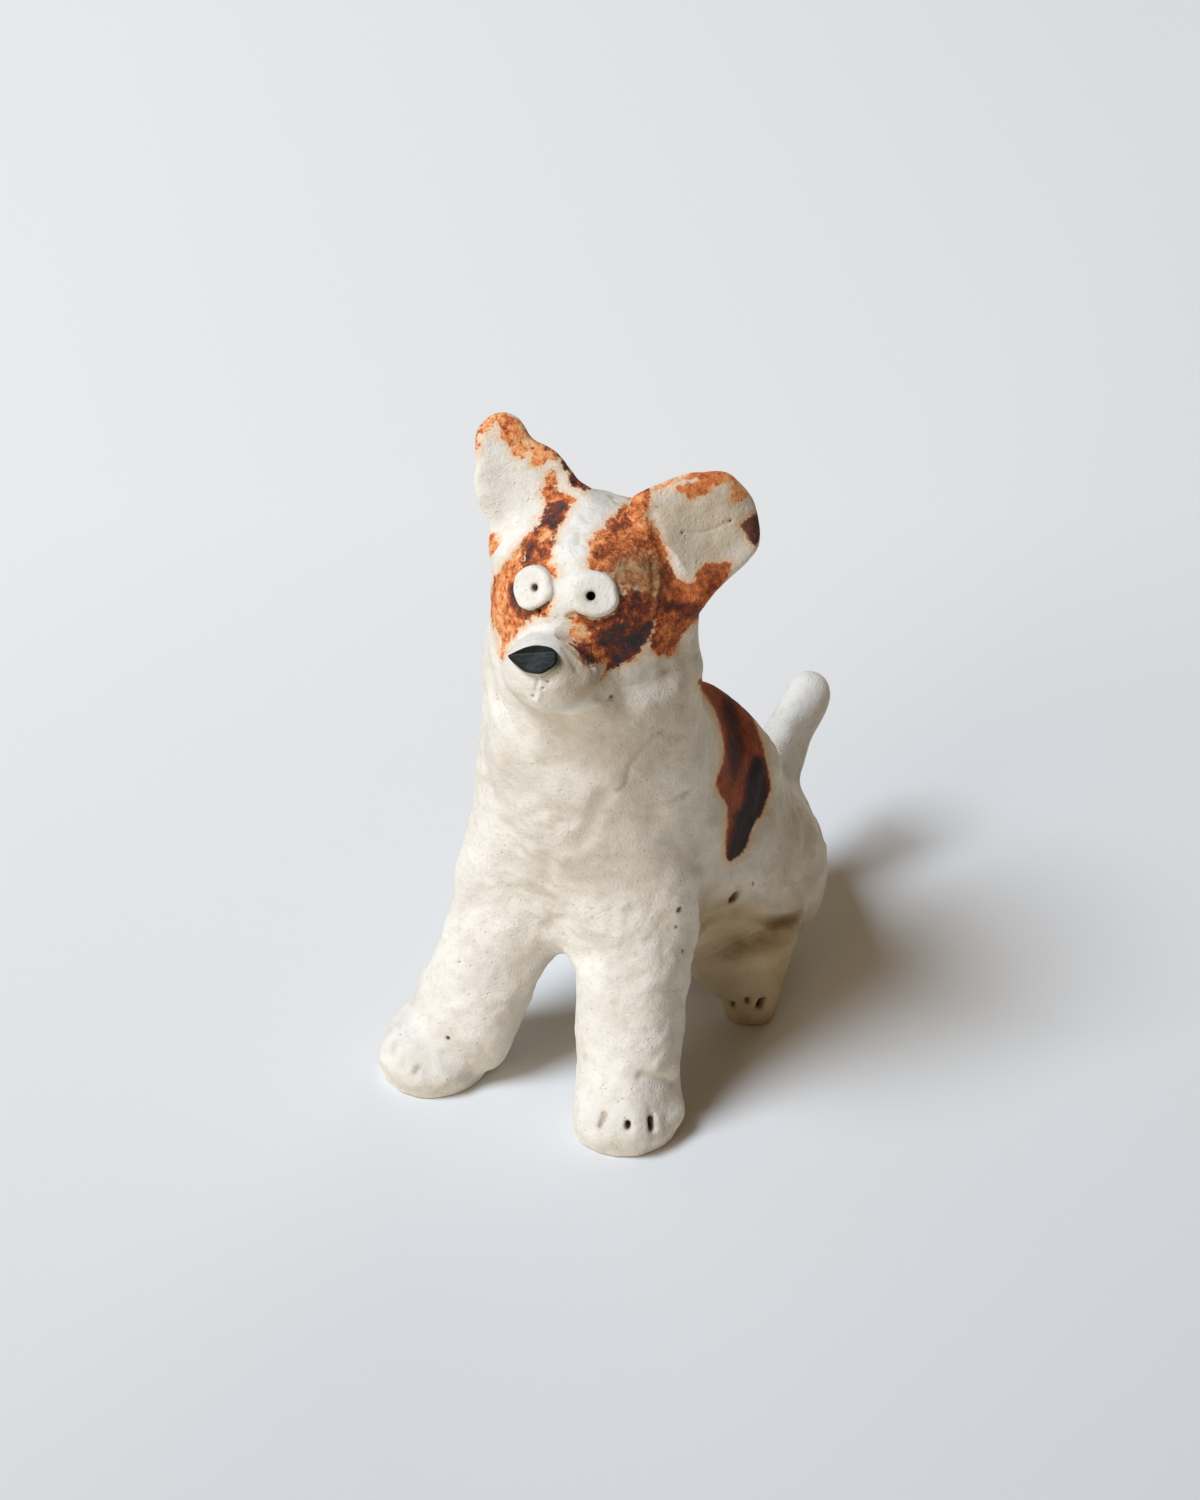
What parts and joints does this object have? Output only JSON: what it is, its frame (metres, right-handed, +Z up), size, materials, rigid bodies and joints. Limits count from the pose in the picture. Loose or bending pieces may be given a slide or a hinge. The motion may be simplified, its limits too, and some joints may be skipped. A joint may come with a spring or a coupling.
{
  "type": "ceramic dog figurine",
  "caption": "Small hand-modelled stoneware dog sitting with its head raised and turned, spread ears and rust patches.",
  "frame": {"origin": "on the surface that the figure sits on, under the middle of its bounding box", "axes": "+Z up, -Y the way the body faces, +X the dog's own left"},
  "size_m": [0.041, 0.0746, 0.0927],
  "materials": {
    "white_clay": "matte fired stoneware, off-white with fine dark specks and some rust-brown oxide",
    "rust_patched_clay": "matte fired stoneware under brushed iron oxide, rust-orange running to purple-brown",
    "black_glaze": "glossy black glaze"
  },
  "bodies": {
    "root": {"head": "rust_patched_clay", "torso": "white_clay", "muzzle": "white_clay", "nose_pad": "black_glaze", "eye_right": "white_clay", "eye_left": "white_clay", "ear_right": "white_clay", "ear_left": "white_clay", "foreleg_right": "white_clay", "foreleg_left": "white_clay", "haunch_right": "white_clay", "hind_leg_right": "white_clay", "haunch_left": "white_clay", "hind_leg_left": "white_clay", "tail": "white_clay"}
  },
  "joints": []
}
